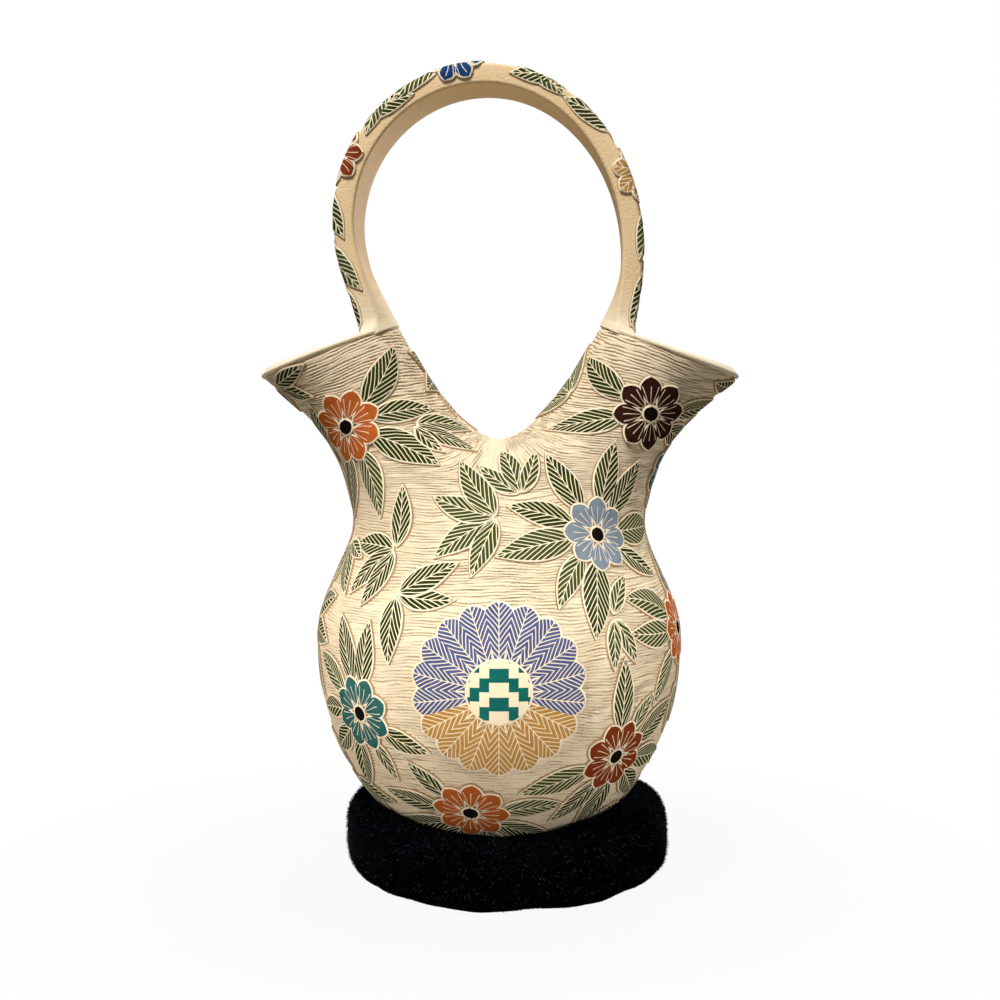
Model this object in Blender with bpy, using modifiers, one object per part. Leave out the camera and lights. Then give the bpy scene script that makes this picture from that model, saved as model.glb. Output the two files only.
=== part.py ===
"""Two-spouted wedding vase with a strap handle, standing in a stuffed plush ring.

The pot is hand-built: a moulded bowl, a coiled belly, a flattened shoulder that closes
over in a saddle, two flared spouts with a finishing coil on each mouth, and a strap
handle luted over the two rims. Metres, +Z up, spouts along X, front towards -Y. The
origin is on the table under the middle of the ring.
"""
import math

import bmesh
import bpy
from mathutils import Matrix, Vector

MM = 0.001

# Body of the pot
POT_LIFT = 10.4 * MM            # underside of the round base above the table
BELLY_RADIUS = 82.6 * MM
BELLY_RISE = 94.0 * MM          # underside to the widest level
NECK_RISE = 59.6 * MM           # widest level to the neck
NECK_HALF_WIDTH = 66.5 * MM
NECK_HALF_DEPTH = 62.0 * MM
BELLY_FULLNESS = 1.25           # above 1 the upper belly stays full for longer
WALL = 6.0 * MM
BOWL_HEIGHT = 36.0 * MM         # underside to the joint between bowl and belly
BELLY_HEIGHT = 128.6 * MM       # underside to the joint between belly and shoulder

# Saddle and spouts
SPLIT_RISE = 19.0 * MM          # neck to the level where the spouts part
SPLIT_HALF_WIDTH = 70.5 * MM
SPLIT_HALF_DEPTH = 50.0 * MM
SPLIT_SQUARENESS = 2.4          # 2 is an ellipse, more is boxier
SPOUT_WAIST = 29.5 * MM         # half depth that a spout draws in to, before it flares
SADDLE_RISE = 36.0 * MM         # neck to the top of the saddle
SADDLE_SWEEP = 1.75             # how late the saddle turns up into the spouts
FLARE_SWEEP = 1.5               # how late the outer edge of a spout flares
SPOUT_FLARE = 3.0               # how late a spout opens to the depth of its mouth
SPOUT_JOINT_RISE = 6.0 * MM     # saddle to the joint of the spouts
MOUTH_RADIUS = 33.5 * MM
MOUTH_REACH = 78.5 * MM         # axis of the pot to the middle of a mouth
MOUTH_RISE = 76.8 * MM          # neck to the middle of a mouth
MOUTH_TILT = math.radians(21.8)
LIP_HEIGHT = 4.0 * MM

# Strap handle
HANDLE_THICKNESS = 9.0 * MM
HANDLE_DEPTH = 40.0 * MM
HANDLE_EDGE = 2.5 * MM          # radius worked on the strap's edges
HANDLE_RISE = 122.5 * MM        # middle of the mouths to the strap's middle at the crown
HANDLE_LEAN = -6.0 * MM         # the crown stands off the pot's axis
LEFT_BULGE = 68.8 * MM          # widest reach of each leg, from the pot's axis
LEFT_BULGE_RISE = 57.0 * MM
RIGHT_BULGE = 60.6 * MM
RIGHT_BULGE_RISE = 43.0 * MM
HANDLE_CUP = 6.0 * MM           # how far the ends are bent round the rims
HANDLE_LAP = 9.0 * MM           # how far the ends run down below the rims
LAP_THICKNESS = 3.0 * MM
LAP_DEPTH = 28.0 * MM           # the ends taper to rounded tongues
RIM_OVERHANG = 1.8 * MM         # the strap stands this far into the mouths

# Raised relief: a feather wheel and rosettes, as lobed medallions
RELIEF_RISE = 0.6 * MM
RELIEF_ROOT = 1.5 * MM          # how deep a medallion is rooted in the wall
WHEEL_RADIUS = 38.0 * MM
WHEEL_LOBES = 18
ROSETTE_RADIUS = 17.0 * MM
ROSETTE_LOBES = 8
LOBE_DEPTH = 0.09               # share of a medallion's radius
WHEEL_SEAT = (3, 98 * MM)       # degrees round from the front, level
BELLY_SEATS = ((-44, 84 * MM), (44, 66 * MM), (78, 116 * MM), (120, 66 * MM), (142, 108 * MM),
               (-142, 116 * MM), (180, 70 * MM), (-92, 116 * MM), (-120, 68 * MM))
SHOULDER_SEATS = ((43, 160 * MM), (180, 168 * MM), (90, 184 * MM), (-90, 184 * MM))

# Stuffed ring
RING_RADIUS = 75.0 * MM
RING_HOLE = 34.0 * MM
RING_HEIGHT = 40.0 * MM
RING_SQUARENESS = 2.8           # 2 is an ellipse, more is boxier
RING_FLAT = 1.5 * MM            # how much the table flattens the underside
COVER_THICKNESS = 4.0 * MM
SEAM_GAP = 2.2 * MM
SEAM_THREAD = 1.4 * MM
SEAM_ANGLE = math.radians(196)  # where the seam lies round the section, on the inner side

# Fits and fineness
JOINT_GAP = 0.3 * MM            # slip joint between neighbouring pieces
RING_STEPS = 32                 # facets round the turned pieces
CAGE_SIDES = 8                  # points round the cage of the shoulder
CAGE_LEVELS = 2
SPOUT_LOOPS = 3                 # cage loops from the split up to a mouth
LAP_STEPS = 4                   # sections along the lap of the handle

# Levels worked out from the sizes above
BELLY_LEVEL = POT_LIFT + BELLY_RISE
NECK_LEVEL = BELLY_LEVEL + NECK_RISE
SPLIT_LEVEL = NECK_LEVEL + SPLIT_RISE
SADDLE_LEVEL = NECK_LEVEL + SADDLE_RISE
MOUTH_LEVEL = NECK_LEVEL + MOUTH_RISE
BOWL_JOINT = POT_LIFT + BOWL_HEIGHT
SHOULDER_JOINT = POT_LIFT + BELLY_HEIGHT
SPOUT_JOINT = SADDLE_LEVEL + SPOUT_JOINT_RISE
CUTTER_REACH = 2 * (MOUTH_REACH + MOUTH_RADIUS)

CLAY = (0.84, 0.70, 0.50)
CLAY_SHADE = (0.78, 0.63, 0.44)
LIP_CLAY = (0.88, 0.76, 0.57)
PLUSH = (0.006, 0.007, 0.009)
FILLING = (0.75, 0.73, 0.68)
THREAD = (0.02, 0.02, 0.025)


def clear_scene():
    for old in list(bpy.data.objects):
        bpy.data.objects.remove(old, do_unlink=True)


def new_collection(name):
    collection = bpy.data.collections.new(name)
    bpy.context.scene.collection.children.link(collection)
    return collection


def finish_material(name, colour, roughness):
    material = bpy.data.materials.new(name)
    material.use_nodes = True
    shader = material.node_tree.nodes["Principled BSDF"]
    shader.inputs["Base Color"].default_value = (*colour, 1.0)
    shader.inputs["Roughness"].default_value = roughness
    shader.inputs["Metallic"].default_value = 0.0
    return material


def add_object(name, mesh, collection, colour=None, roughness=0.8):
    """Link a mesh as a named piece, or as a hidden cutter when it has no colour."""
    piece = bpy.data.objects.new(name, mesh)
    collection.objects.link(piece)
    if colour is None:
        piece.hide_render = True
        piece.display_type = "WIRE"
    else:
        mesh.materials.append(finish_material(name + "_finish", colour, roughness))
    return piece


def turned(name, profile, closed, collection, colour=None, roughness=0.8):
    """Turn (radius, height) points, running down the outer side, about the Z axis."""
    mesh = bpy.data.meshes.new(name)
    points = [(radius, 0.0, height) for radius, height in profile]
    edges = [(i, i + 1) for i in range(len(points) - 1)]
    if closed:
        edges.append((len(points) - 1, 0))
    mesh.from_pydata(points, edges, [])
    piece = add_object(name, mesh, collection, colour, roughness)
    screw = piece.modifiers.new("turn", "SCREW")
    screw.steps = RING_STEPS
    screw.render_steps = RING_STEPS
    screw.use_merge_vertices = True
    screw.merge_threshold = 0.00001
    screw.use_smooth_shade = True
    return piece


def cut(piece, operation, cutter):
    modifier = piece.modifiers.new(cutter.name, "BOOLEAN")
    modifier.operation = operation
    modifier.object = cutter
    modifier.solver = "EXACT"


def slab(name, low, high, collection):
    """A box-shaped cutter between two corners."""
    mesh = bpy.data.meshes.new(name)
    shape = bmesh.new()
    bmesh.ops.create_cube(shape, size=1.0)
    size = [b - a for a, b in zip(low, high)]
    middle = [(a + b) / 2 for a, b in zip(low, high)]
    bmesh.ops.scale(shape, vec=size, verts=shape.verts)
    bmesh.ops.translate(shape, vec=middle, verts=shape.verts)
    shape.to_mesh(mesh)
    shape.free()
    return add_object(name, mesh, collection)


# The pot's side outline
def pot_radius(level):
    """Outer radius of the turned part of the pot at a level between base and neck."""
    if level <= BELLY_LEVEL:
        drop = (BELLY_LEVEL - level) / BELLY_RISE
        return BELLY_RADIUS * math.sqrt(max(0.0, 1.0 - drop * drop))
    climb = ((level - BELLY_LEVEL) / NECK_RISE) ** BELLY_FULLNESS
    return NECK_HALF_WIDTH + (BELLY_RADIUS - NECK_HALF_WIDTH) * (1 + math.cos(math.pi * climb)) / 2


def pot_underside(radius):
    """Level of the round base's outer face at a radius."""
    share = min(1.0, radius / BELLY_RADIUS)
    return BELLY_LEVEL - BELLY_RISE * math.sqrt(1.0 - share * share)


def inset(points, depth):
    """Move a line of (radius, height) points to its right-hand side by a depth."""
    moved = []
    for i, (radius, height) in enumerate(points):
        before = points[max(i - 1, 0)]
        after = points[min(i + 1, len(points) - 1)]
        along = Vector((after[0] - before[0], after[1] - before[1])).normalized()
        moved.append((max(0.0, radius + along.y * depth), height - along.x * depth))
    return moved


def unfolded(moved, line, depth):
    """Leave out the inset points that fold back where a line turns tighter than the depth."""
    kept = []
    for point in moved:
        gaps = []
        for start, end in zip(line, line[1:]):
            along = Vector(end) - Vector(start)
            reach = Vector(point) - Vector(start)
            share = min(1.0, max(0.0, reach.dot(along) / along.length_squared))
            gaps.append((reach - along * share).length)
        if min(gaps) > 0.9 * depth:
            kept.append(point)
    return kept


def shell_profile(outer):
    """Close a downward outer line with the inner face of the wall."""
    inner = inset(outer, WALL)
    inner[0] = (inner[0][0], outer[0][1])
    if outer[-1][0] == 0.0:
        inner[-1] = (0.0, outer[-1][1] + WALL)
    else:
        inner[-1] = (inner[-1][0], outer[-1][1])
    return list(reversed(inner)) + outer


# Relief
def medallion(shape, seat, radius, lobes):
    """A flat lobed disc that touches the wall at a seat."""
    degrees, level = seat
    turn = Matrix.Rotation(math.radians(degrees), 4, "Z")
    place = turn @ Matrix.Translation((0, -pot_radius(min(level, NECK_LEVEL)), level))
    rings = math.ceil(radius / ROSETTE_RADIUS) + 1
    middle = shape.verts.new(place @ Vector((0, 0, 0)))
    inside = None
    for k in range(1, rings + 1):
        loop = []
        for i in range(2 * lobes):
            angle = math.pi * i / lobes
            reach = radius * k / rings
            if k == rings and i % 2:
                reach *= 1 - LOBE_DEPTH
            loop.append(shape.verts.new(place @ Vector((reach * math.cos(angle), 0, reach * math.sin(angle)))))
        for i in range(2 * lobes):
            j = (i + 1) % (2 * lobes)
            if inside:
                shape.faces.new((inside[i], loop[i], loop[j], inside[j]))
            else:
                shape.faces.new((middle, loop[i], loop[j]))
        inside = loop


def make_relief(name, medallions, form, cutters):
    """Lay flat medallions on a form and thicken them, as one tool to join to a wall."""
    shape = bmesh.new()
    for seat, radius, lobes in medallions:
        medallion(shape, seat, radius, lobes)
    mesh = bpy.data.meshes.new(name)
    shape.to_mesh(mesh)
    shape.free()
    relief = add_object(name, mesh, cutters)
    wrap = relief.modifiers.new("lay", "SHRINKWRAP")
    wrap.target = form
    wrap.wrap_method = "NEAREST_SURFACEPOINT"
    body = relief.modifiers.new("body", "SOLIDIFY")
    body.thickness = RELIEF_RISE + RELIEF_ROOT
    body.offset = 2 * RELIEF_RISE / body.thickness - 1
    return relief


def make_bowl(parts):
    top = BOWL_JOINT - JOINT_GAP / 2
    rim_angle = math.acos((BELLY_LEVEL - top) / BELLY_RISE)
    steps = 6
    outer = []
    for i in range(steps + 1):
        angle = rim_angle * (1 - i / steps)
        outer.append((BELLY_RADIUS * math.sin(angle), BELLY_LEVEL - BELLY_RISE * math.cos(angle)))
    outer[-1] = (0.0, POT_LIFT)
    return turned("base_bowl", shell_profile(outer), False, parts, CLAY_SHADE)


def make_belly(parts, cutters):
    top = SHOULDER_JOINT - JOINT_GAP / 2
    foot = BOWL_JOINT + JOINT_GAP / 2
    steps = 9
    levels = [top + (foot - top) * i / steps for i in range(steps + 1)]
    outer = [(pot_radius(level), level) for level in levels]
    belly = turned("belly_wall", shell_profile(outer), True, parts, CLAY)
    form = turned("belly_form", outer, False, cutters)
    medallions = [(WHEEL_SEAT, WHEEL_RADIUS, WHEEL_LOBES)]
    medallions += [(seat, ROSETTE_RADIUS, ROSETTE_LOBES) for seat in BELLY_SEATS]
    cut(belly, "UNION", make_relief("belly_relief", medallions, form, cutters))
    return belly


# Shoulder and spouts: one smooth skin drawn through a coarse cage
def inner_edge(share):
    """Saddle to mouth along the side of the right spout that faces the handle."""
    reach = MOUTH_REACH - MOUTH_RADIUS * math.cos(MOUTH_TILT)
    top = MOUTH_LEVEL + MOUTH_RADIUS * math.sin(MOUTH_TILT)
    return Vector((reach * share, 0.0, SADDLE_LEVEL + (top - SADDLE_LEVEL) * share ** SADDLE_SWEEP))


def outer_edge(share):
    """Split level to mouth along the far side of the right spout."""
    reach = MOUTH_REACH + MOUTH_RADIUS * math.cos(MOUTH_TILT)
    top = MOUTH_LEVEL - MOUTH_RADIUS * math.sin(MOUTH_TILT)
    across = SPLIT_HALF_WIDTH + (reach - SPLIT_HALF_WIDTH) * share ** FLARE_SWEEP
    return Vector((across, 0.0, SPLIT_LEVEL + (top - SPLIT_LEVEL) * share))


def signed_power(value, power):
    return math.copysign(abs(value) ** power, value)


def ring_points(half_width, half_depth, level, squareness=2.0):
    power = 2 / squareness
    points = []
    for i in range(CAGE_SIDES):
        angle = 2 * math.pi * i / CAGE_SIDES - math.pi / 2
        points.append(Vector((half_width * signed_power(math.cos(angle), power),
                              half_depth * signed_power(math.sin(angle), power), level)))
    return points


def spout_points(share):
    """One loop of the right spout, starting at its front."""
    inside = inner_edge(share)
    outside = outer_edge(share)
    middle = (inside + outside) / 2
    across = (outside - inside) / 2
    half_depth = SPOUT_WAIST + (SPLIT_HALF_DEPTH - SPOUT_WAIST) * (1 - share) ** SPOUT_FLARE
    half_depth += (MOUTH_RADIUS - SPOUT_WAIST) * share ** SPOUT_FLARE
    points = []
    for i in range(CAGE_SIDES):
        angle = 2 * math.pi * i / CAGE_SIDES - math.pi / 2
        points.append(middle + across * math.cos(angle) + Vector((0, half_depth * math.sin(angle), 0)))
    return points


def saddle_arch():
    """Points over the saddle from back to front, between the two ends of the split."""
    rise = SADDLE_LEVEL - SPLIT_LEVEL
    inner = CAGE_SIDES // 2
    angles = [math.pi * i / inner for i in range(1, inner)]
    return [Vector((0, SPLIT_HALF_DEPTH * math.cos(a), SPLIT_LEVEL + rise * math.sin(a))) for a in angles]


def smooth_point(vert):
    """Where a cage vertex comes to lie on the smooth surface."""
    around = [edge.other_vert(vert) for edge in vert.link_edges]
    if vert.is_boundary:
        ends = [edge.other_vert(vert).co for edge in vert.link_edges if edge.is_boundary]
        return (ends[0] + 4 * vert.co + ends[1]) / 6
    count = len(around)
    total = vert.co * count * count
    for other in around:
        total = total + 4 * other.co
    for face in vert.link_faces:
        total = total + next(v.co for v in face.verts if v != vert and v not in around)
    return total / (count * (count + 5))


def draw_through(cage, passes=16):
    """Push the cage out until its smooth surface runs through the points it was built on."""
    targets = {vert: vert.co.copy() for vert in cage.verts}
    for _ in range(passes):
        steps = {vert: targets[vert] - smooth_point(vert) for vert in cage.verts}
        for vert, step in steps.items():
            vert.co += step


def band(cage, low, high):
    count = len(low)
    for i in range(count):
        j = (i + 1) % count
        cage.faces.new((low[i], low[j], high[j], high[i]))


def skin_mesh():
    """Cage of the outer skin from below the shoulder joint up to both mouths."""
    below = 2 * SHOULDER_JOINT - (SHOULDER_JOINT + NECK_LEVEL) / 2
    between = (SHOULDER_JOINT + NECK_LEVEL) / 2
    half_depth = (pot_radius(SHOULDER_JOINT) + NECK_HALF_DEPTH) / 2
    stations = [
        ring_points(pot_radius(below), pot_radius(below), below),
        ring_points(pot_radius(SHOULDER_JOINT), pot_radius(SHOULDER_JOINT), SHOULDER_JOINT),
        ring_points(pot_radius(between), half_depth, between),
        ring_points(NECK_HALF_WIDTH, NECK_HALF_DEPTH, NECK_LEVEL),
        ring_points(SPLIT_HALF_WIDTH, SPLIT_HALF_DEPTH, SPLIT_LEVEL, SPLIT_SQUARENESS),
    ]
    cage = bmesh.new()
    rings = [[cage.verts.new(point) for point in station] for station in stations]
    for low, high in zip(rings, rings[1:]):
        band(cage, low, high)
    split = rings[-1]
    arch = [cage.verts.new(point) for point in saddle_arch()]
    half = CAGE_SIDES // 2
    starts = {1: split[:half + 1] + arch, -1: split[half:] + split[:1] + arch[::-1]}
    for side, low in starts.items():
        for k in range(1, SPOUT_LOOPS + 1):
            loop = spout_points(k / SPOUT_LOOPS)
            high = [cage.verts.new((side * p.x, side * p.y, p.z)) for p in loop]
            band(cage, low, high)
            low = high
    draw_through(cage)
    mesh = bpy.data.meshes.new("pot_skin")
    cage.to_mesh(mesh)
    cage.free()
    mesh.shade_smooth()
    return mesh


def skin_piece(name, mesh, collection, colour=None, grow=0.0):
    """The upper pot as a wall: smooth skin, thickened inwards, grown on both faces."""
    piece = add_object(name, mesh.copy(), collection, colour)
    smooth = piece.modifiers.new("smooth", "SUBSURF")
    smooth.levels = CAGE_LEVELS
    smooth.render_levels = CAGE_LEVELS
    wall = piece.modifiers.new("wall", "SOLIDIFY")
    wall.thickness = WALL + 2 * grow
    wall.offset = 2 * grow / wall.thickness - 1
    return piece


def mouth_place(side):
    """Frame of a mouth: Z along its axis, X away from the pot."""
    turn = Matrix.Rotation(0.0 if side > 0 else math.pi, 4, "Z")
    tilt = Matrix.Rotation(MOUTH_TILT, 4, "Y")
    return turn @ Matrix.Translation((MOUTH_REACH, 0, MOUTH_LEVEL)) @ tilt


def make_upper_pot(parts, cutters):
    skin = skin_mesh()
    shoulder = skin_piece("shoulder", skin, parts, CLAY)
    form = add_object("shoulder_form", skin.copy(), cutters)
    smooth = form.modifiers.new("smooth", "SUBSURF")
    smooth.levels = CAGE_LEVELS
    smooth.render_levels = CAGE_LEVELS
    medallions = [(seat, ROSETTE_RADIUS, ROSETTE_LOBES) for seat in SHOULDER_SEATS]
    cut(shoulder, "UNION", make_relief("shoulder_relief", medallions, form, cutters))
    floor = SHOULDER_JOINT + JOINT_GAP / 2
    ceiling = SPOUT_JOINT - JOINT_GAP / 2
    cut(shoulder, "INTERSECT", slab(
        "shoulder_space", (-CUTTER_REACH, -CUTTER_REACH, floor),
        (CUTTER_REACH, CUTTER_REACH, ceiling), cutters))
    for name, side in (("left", -1), ("right", 1)):
        spout = skin_piece(name + "_spout", skin, parts, CLAY)
        near, far = sorted((0.0, side * CUTTER_REACH))
        cut(spout, "INTERSECT", slab(
            name + "_spout_space", (near, -CUTTER_REACH, SPOUT_JOINT + JOINT_GAP / 2),
            (far, CUTTER_REACH, MOUTH_LEVEL + CUTTER_REACH), cutters))
        seat = -LIP_HEIGHT - JOINT_GAP
        above = [(0.0, MOUTH_RADIUS), (2 * MOUTH_RADIUS, MOUTH_RADIUS),
                 (2 * MOUTH_RADIUS, seat), (0.0, seat)]
        lip_space = turned(name + "_lip_space", above, False, cutters)
        lip_space.matrix_world = mouth_place(side)
        cut(spout, "DIFFERENCE", lip_space)
        lip = turned(name + "_lip", lip_profile(0.0), True, parts, LIP_CLAY, 0.7)
        lip.matrix_world = mouth_place(side)
    return skin


def lip_profile(grow):
    """Half-round finishing coil with a flat seat, in the frame of its mouth."""
    middle = MOUTH_RADIUS - WALL / 2
    seat = -LIP_HEIGHT - grow
    steps = 6
    points = []
    for i in range(steps + 1):
        angle = math.pi - math.pi * i / steps
        points.append((middle + (WALL / 2 + grow) * math.cos(angle),
                       seat + (LIP_HEIGHT + 2 * grow) * math.sin(angle)))
    return points


# Strap handle
def bezier(start, pull_start, pull_end, end, share):
    rest = 1 - share
    return (start * rest ** 3 + pull_start * 3 * rest * rest * share
            + pull_end * 3 * rest * share * share + end * share ** 3)


def leg_line(side, bulge):
    """Strap's middle line from the end of the lap, over the rim, up to the bulge."""
    rim_radius = MOUTH_RADIUS - WALL - RIM_OVERHANG + HANDLE_THICKNESS / 2
    rim = mouth_place(1) @ Vector((-rim_radius, 0, 0))
    down = (inner_edge(0.9) - inner_edge(1.0)).normalized()
    lap = rim + down * HANDLE_LAP
    rim.x *= side
    lap.x *= side
    rise = (rim - lap).normalized()
    pull = (bulge - rim).length / 3
    line = [lap + (rim - lap) * i / LAP_STEPS for i in range(LAP_STEPS)]
    steps = 7
    for i in range(steps):
        line.append(bezier(rim, rim + rise * pull, bulge - Vector((0, 0, pull)), bulge, i / steps))
    return line


def quarter_arch(bulge, crown, steps=11):
    points = []
    for i in range(steps):
        angle = math.pi / 2 * i / steps
        points.append(Vector((crown.x + (bulge.x - crown.x) * math.cos(angle), 0,
                              bulge.z + (crown.z - bulge.z) * math.sin(angle))))
    return points


def handle_line():
    """Strap's middle line from the left lap over the crown to the right lap."""
    crown = Vector((HANDLE_LEAN, 0, MOUTH_LEVEL + HANDLE_RISE))
    left = Vector((-LEFT_BULGE, 0, MOUTH_LEVEL + LEFT_BULGE_RISE))
    right = Vector((RIGHT_BULGE, 0, MOUTH_LEVEL + RIGHT_BULGE_RISE))
    climb = leg_line(-1, left) + quarter_arch(left, crown)
    fall = leg_line(1, right) + quarter_arch(right, crown)
    return climb + [crown] + fall[::-1]


def strap_section():
    """Rounded rectangle as (share of thickness, depth) pairs, with points across its faces."""
    corner_steps = 2
    flat = HANDLE_DEPTH / 2 - HANDLE_EDGE
    deep = HANDLE_THICKNESS / 2 - HANDLE_EDGE
    points = []
    for quarter in range(4):
        start = quarter * math.pi / 2
        middle = start + math.pi / 4
        side_x = math.copysign(1, math.cos(middle))
        side_y = math.copysign(1, math.sin(middle))
        for i in range(corner_steps + 1):
            angle = start + math.pi / 2 * i / corner_steps
            points.append((side_x * deep + HANDLE_EDGE * math.cos(angle),
                           side_y * flat + HANDLE_EDGE * math.sin(angle)))
        if quarter % 2 == 1:
            face = points[-1][0]
            points += [(face, side_y * flat * k / 3) for k in (1, -1)]
    return [(x / HANDLE_THICKNESS, y) for x, y in points]


def make_handle(parts, cutters, skin):
    line = handle_line()
    section = strap_section()
    rim_level = mouth_place(1) @ Vector((-MOUTH_RADIUS, 0, 0))
    shape = bmesh.new()
    loops = []
    last = len(line) - 1
    for i, point in enumerate(line):
        along = (line[min(i + 1, last)] - line[max(i - 1, 0)]).normalized()
        outward = Vector((-along.z, 0, along.x))
        bulge_level = MOUTH_LEVEL + (LEFT_BULGE_RISE if i < last / 2 else RIGHT_BULGE_RISE)
        near_rim = min(1.0, max(0.0, (bulge_level - point.z) / (bulge_level - rim_level.z)))
        cup = HANDLE_CUP * near_rim * near_rim
        up_lap = math.sqrt(min(1.0, min(i, last - i) / LAP_STEPS))
        thickness = LAP_THICKNESS + (HANDLE_THICKNESS - LAP_THICKNESS) * up_lap
        narrowing = (LAP_DEPTH + (HANDLE_DEPTH - LAP_DEPTH) * up_lap) / HANDLE_DEPTH
        loop = []
        for share, full_depth in section:
            depth = full_depth * narrowing
            bend = cup * (2 * depth / HANDLE_DEPTH) ** 2
            loop.append(shape.verts.new(
                point + outward * (share * thickness + bend) + Vector((0, depth, 0))))
        loops.append(loop)
    for low, high in zip(loops, loops[1:]):
        band(shape, low, high)
    shape.faces.new(loops[0][::-1])
    shape.faces.new(loops[-1])
    bmesh.ops.recalc_face_normals(shape, faces=shape.faces)
    mesh = bpy.data.meshes.new("handle")
    shape.to_mesh(mesh)
    shape.free()
    mesh.shade_smooth()
    handle = add_object("handle", mesh, parts, LIP_CLAY, 0.75)
    for name, side in (("left", -1), ("right", 1)):
        seat = turned(name + "_lip_seat", lip_profile(JOINT_GAP), True, cutters)
        seat.matrix_world = mouth_place(side)
        cut(handle, "DIFFERENCE", seat)
    cut(handle, "DIFFERENCE", skin_piece("rim_seats", skin, cutters, grow=JOINT_GAP))
    return handle


# Stuffed ring
def ring_outline(start, end, steps):
    """Surface of the ring's section from one angle round to another, clockwise."""
    middle = (RING_RADIUS + RING_HOLE) / 2
    half_width = (RING_RADIUS - RING_HOLE) / 2
    half_height = (RING_HEIGHT + RING_FLAT) / 2
    power = 2 / RING_SQUARENESS
    points = []
    for i in range(steps + 1):
        angle = start + (end - start) * i / steps
        radius = middle + half_width * signed_power(math.cos(angle), power)
        height = half_height - RING_FLAT + half_height * signed_power(math.sin(angle), power)
        dish = pot_underside(radius) - JOINT_GAP
        points.append((radius, max(0.0, min(height, dish))))
    return points


def make_ring(parts):
    half_seam = SEAM_GAP / (RING_HEIGHT + RING_FLAT)
    outer = ring_outline(SEAM_ANGLE - half_seam, SEAM_ANGLE + half_seam - 2 * math.pi, 20)
    lining = unfolded(inset(outer, COVER_THICKNESS), outer, COVER_THICKNESS)
    turned("ring_cover", outer + lining[::-1], True, parts, PLUSH, 0.95)
    under_cover = COVER_THICKNESS + JOINT_GAP
    filling = unfolded(inset(outer, under_cover), outer, under_cover)
    turned("ring_stuffing", filling, True, parts, FILLING, 0.9)
    ends = (outer[0], outer[-1], lining[0], lining[-1])
    middle = [sum(point[k] for point in ends) / len(ends) for k in (0, 1)]
    steps = 5
    thread = []
    for i in range(steps):
        angle = math.pi / 2 - 2 * math.pi * i / steps
        thread.append((middle[0] + SEAM_THREAD / 2 * math.cos(angle),
                       middle[1] + SEAM_THREAD / 2 * math.sin(angle)))
    turned("ring_seam", thread, True, parts, THREAD, 0.6)


def main():
    clear_scene()
    parts = new_collection("wedding_vase")
    cutters = new_collection("wedding_vase_cutters")
    make_bowl(parts)
    make_belly(parts, cutters)
    skin = make_upper_pot(parts, cutters)
    make_handle(parts, cutters, skin)
    make_ring(parts)


main()
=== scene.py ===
# %% [markdown]
# # A carved wedding vase in its plush ring
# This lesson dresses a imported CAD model. The frame holds the true sizes and the two things that
# move apart: the pot, and the ring it stands in. Lengths are metres; MM keeps them readable.

# %% Load the frame
import itertools
import math
import random

import bmesh
import bpy
import numpy as np
from mathutils import Matrix, Vector, noise
from mathutils.bvhtree import BVHTree


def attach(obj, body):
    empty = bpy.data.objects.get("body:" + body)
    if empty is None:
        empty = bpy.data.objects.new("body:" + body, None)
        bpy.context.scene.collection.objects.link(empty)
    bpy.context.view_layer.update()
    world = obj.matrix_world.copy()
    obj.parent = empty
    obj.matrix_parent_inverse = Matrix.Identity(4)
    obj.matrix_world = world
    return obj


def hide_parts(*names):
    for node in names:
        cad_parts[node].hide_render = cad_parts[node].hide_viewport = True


MM = 0.001
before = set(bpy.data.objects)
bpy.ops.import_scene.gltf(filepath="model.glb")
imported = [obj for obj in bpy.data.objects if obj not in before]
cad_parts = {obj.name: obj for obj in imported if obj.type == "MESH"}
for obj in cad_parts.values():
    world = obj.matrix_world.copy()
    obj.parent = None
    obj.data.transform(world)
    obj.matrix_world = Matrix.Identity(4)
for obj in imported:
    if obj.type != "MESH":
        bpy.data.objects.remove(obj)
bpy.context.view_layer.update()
scene = bpy.context.scene
scene.view_settings.view_transform = "Standard"

# %% [markdown]
# ## Camera
# The vase was photographed almost straight on, from the height of the saddle. A camera that is tilted
# until the picture fits makes upright edges lean. This one looks down by two degrees only, and a
# small lens shift does the rest of the framing, as on a view camera.

# %% Camera
VIEW_TURN = math.radians(3.0)
VIEW_PITCH = math.radians(2.18)
VIEW_DISTANCE = 0.753
VIEW_HEIGHT = 0.2234
VIEW_LENS = 58.96
VIEW_SHIFT = (0.001, -0.05)


def put(name, data):
    """Link a new object to the scene."""
    made = bpy.data.objects.new(name, data)
    scene.collection.objects.link(made)
    return made


camera = put("camera", bpy.data.cameras.new("camera"))
camera.location = (VIEW_DISTANCE * math.sin(VIEW_TURN), -VIEW_DISTANCE * math.cos(VIEW_TURN),
                   VIEW_HEIGHT)
camera.rotation_euler = (math.pi / 2 - VIEW_PITCH, 0, VIEW_TURN)
camera.data.lens = VIEW_LENS
camera.data.shift_x, camera.data.shift_y = VIEW_SHIFT
scene.camera = camera
print("camera at", tuple(round(v, 3) for v in camera.location))

# %% [markdown]
# ## Sizes of the pot
# These are the driving sizes of the CAD part. The skin is drawn from them again, finer, so that it
# lies where the frame's wall lies. Fullness, squareness, sweep and flare are powers that bend a curve.

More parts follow.
